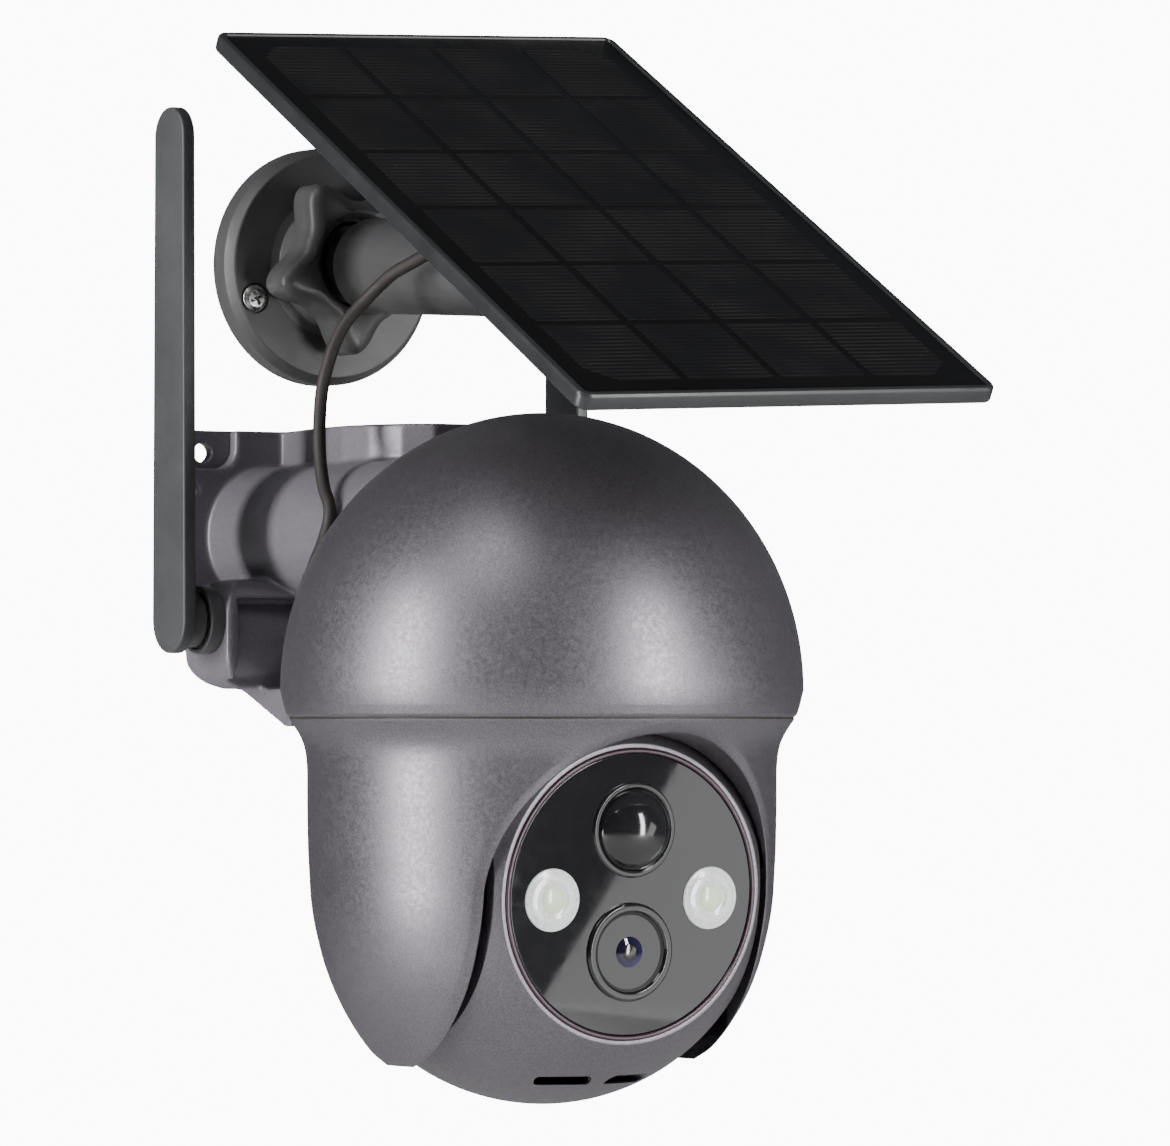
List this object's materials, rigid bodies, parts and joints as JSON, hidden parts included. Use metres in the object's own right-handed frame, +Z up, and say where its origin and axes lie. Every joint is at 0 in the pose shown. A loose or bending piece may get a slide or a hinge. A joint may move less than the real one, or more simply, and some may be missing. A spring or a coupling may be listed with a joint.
{
  "type": "solar-powered pan and tilt security camera",
  "caption": "Domed outdoor camera on a wall housing with a tilting ball head, upright antennas and a sloping solar panel on a ball-jointed arm, joined by a thin cable.",
  "frame": {"origin": "centre of the camera's back face, on the wall plane", "axes": "+X to the right seen from the front, -Y away from the wall, +Z up"},
  "size_m": [0.1184, 0.2055, 0.2484],
  "materials": {
    "shell": "fine-grained metallic satin paint over moulded plastic",
    "dark_plastic": "satin, fine moulded grain",
    "rubber": "matt",
    "steel": "zinc plated, satin",
    "motor_can": "plated, satin",
    "board": "green solder mask, semi-gloss",
    "cell_sleeve": "shrink sleeve, gloss",
    "socket_plastic": "satin",
    "acetal": "natural, satin",
    "window": "polished",
    "bezel": "polished",
    "lens": "polished, coated",
    "pir": "satin, faceted inside",
    "led": "clear, prismatic",
    "silicon": "fine printed lines, satin",
    "cover_glass": "polished"
  },
  "bodies": {
    "mount": {"back_plate": "shell", "housing_shell": "shell", "housing_gasket": "rubber", "housing_screws": "steel", "battery_cells": "cell_sleeve", "battery_holder": "dark_plastic", "charge_board": "board", "charge_socket": "socket_plastic", "antenna_left_socket": "dark_plastic", "antenna_right_socket": "dark_plastic", "dome_shell": "shell", "dome_base": "dark_plastic", "dome_screws": "steel", "main_board": "board", "pan_motor": "motor_can", "pan_bearing": "acetal", "bracket_plate": "dark_plastic", "bracket_screws": "steel", "cable_plug": "rubber", "cable_lower": "rubber", "cable_middle": "rubber", "cable_upper": "rubber"},
    "yoke": {"yoke_shell": "shell", "yoke_carrier": "dark_plastic", "pan_gear": "acetal", "pan_retainer": "steel", "cheek_cover_left": "shell", "cheek_cover_right": "shell", "tilt_motor": "motor_can", "tilt_bushes": "acetal"},
    "pan_drive": {"pan_pinion": "acetal"},
    "tilt_drive": {"tilt_pinion": "acetal"},
    "ball": {"ball_front": "shell", "ball_rear": "shell", "face_window": "window", "face_bezel": "bezel", "lens_barrel": "socket_plastic", "lens_glass": "lens", "pir_lens": "pir", "led_lenses": "led", "sensor_board": "board", "speaker": "socket_plastic", "tilt_axles": "steel", "tilt_gear": "acetal", "ball_screws": "steel"},
    "antenna_left": {"antenna_left_blade": "dark_plastic", "antenna_left_pin": "dark_plastic"},
    "antenna_right": {"antenna_right_blade": "dark_plastic", "antenna_right_pin": "dark_plastic"},
    "star_nut": {"star_nut": "dark_plastic"},
    "seat": {"ball_seat": "socket_plastic"},
    "arm": {"panel_arm": "dark_plastic", "clamp_bolt": "steel"},
    "knob": {"clamp_knob": "dark_plastic"},
    "panel": {"panel_frame": "socket_plastic", "solar_cells": "silicon", "panel_glass": "cover_glass", "panel_bracket": "dark_plastic", "cable_gland": "rubber"},
    "button": {"power_button": "rubber"}
  },
  "joints": [
    {"name": "pan", "type": "hinge", "parent": "mount", "child": "yoke", "pos_m": [0, -0.103, -0.037], "axis": [0, 0, 1], "range_deg": [-177.5, 177.5]},
    {"name": "pan_drive", "type": "hinge", "parent": "mount", "child": "pan_drive", "pos_m": [-0.03118, -0.121, -0.037], "axis": [0, 0, 1], "range_deg": [-890, 890]},
    {"name": "tilt", "type": "hinge", "parent": "yoke", "child": "ball", "pos_m": [0, -0.103, -0.0737], "axis": [1, 0, 0], "range_deg": [-14, 86]},
    {"name": "tilt_drive", "type": "hinge", "parent": "yoke", "child": "tilt_drive", "pos_m": [0, -0.10417, -0.05694], "axis": [1, 0, 0], "range_deg": [-220, 40]},
    {"name": "antenna_left_fold", "type": "hinge", "parent": "mount", "child": "antenna_left", "pos_m": [-0.0533, -0.0272, -0.0145], "axis": [-1, 0, 0], "range_deg": [-65, 5]},
    {"name": "antenna_right_fold", "type": "hinge", "parent": "mount", "child": "antenna_right", "pos_m": [0.0533, -0.0272, -0.0145], "axis": [-1, 0, 0], "range_deg": [-65, 5]},
    {"name": "star_nut_turn", "type": "hinge", "parent": "mount", "child": "star_nut", "pos_m": [0, -0.013, 0.07], "axis": [0, 1, 0], "continuous": true},
    {"name": "arm_swivel", "type": "hinge", "parent": "mount", "child": "seat", "pos_m": [0, -0.013, 0.07], "axis": [0, 0, 1], "range_deg": [-9, 9], "deforming": ["cable_lower"]},
    {"name": "arm_tilt", "type": "hinge", "parent": "seat", "child": "arm", "pos_m": [0, -0.013, 0.07], "axis": [1, 0, 0], "range_deg": [-10, 4], "deforming": ["cable_middle"]},
    {"name": "panel_tilt", "type": "hinge", "parent": "arm", "child": "panel", "pos_m": [0, -0.11391, 0.06383], "axis": [0.9993, -0.0023, 0.0383], "range_deg": [-12, 26], "deforming": ["cable_upper"]},
    {"name": "clamp_knob_turn", "type": "hinge", "parent": "arm", "child": "knob", "pos_m": [0, -0.11391, 0.06383], "axis": [0.9993, -0.0023, 0.0383], "continuous": true},
    {"name": "power_button_press", "type": "slide", "parent": "mount", "child": "button", "axis": [0, 0, 1], "range_m": [0, 0.0008], "stiffness_N_per_m": 600, "springref_m": -0.0006}
  ],
  "couplings": [
    {"joint": "pan_drive", "follows": "pan", "ratio": -5},
    {"joint": "tilt_drive", "follows": "tilt", "ratio": -2.5}
  ]
}
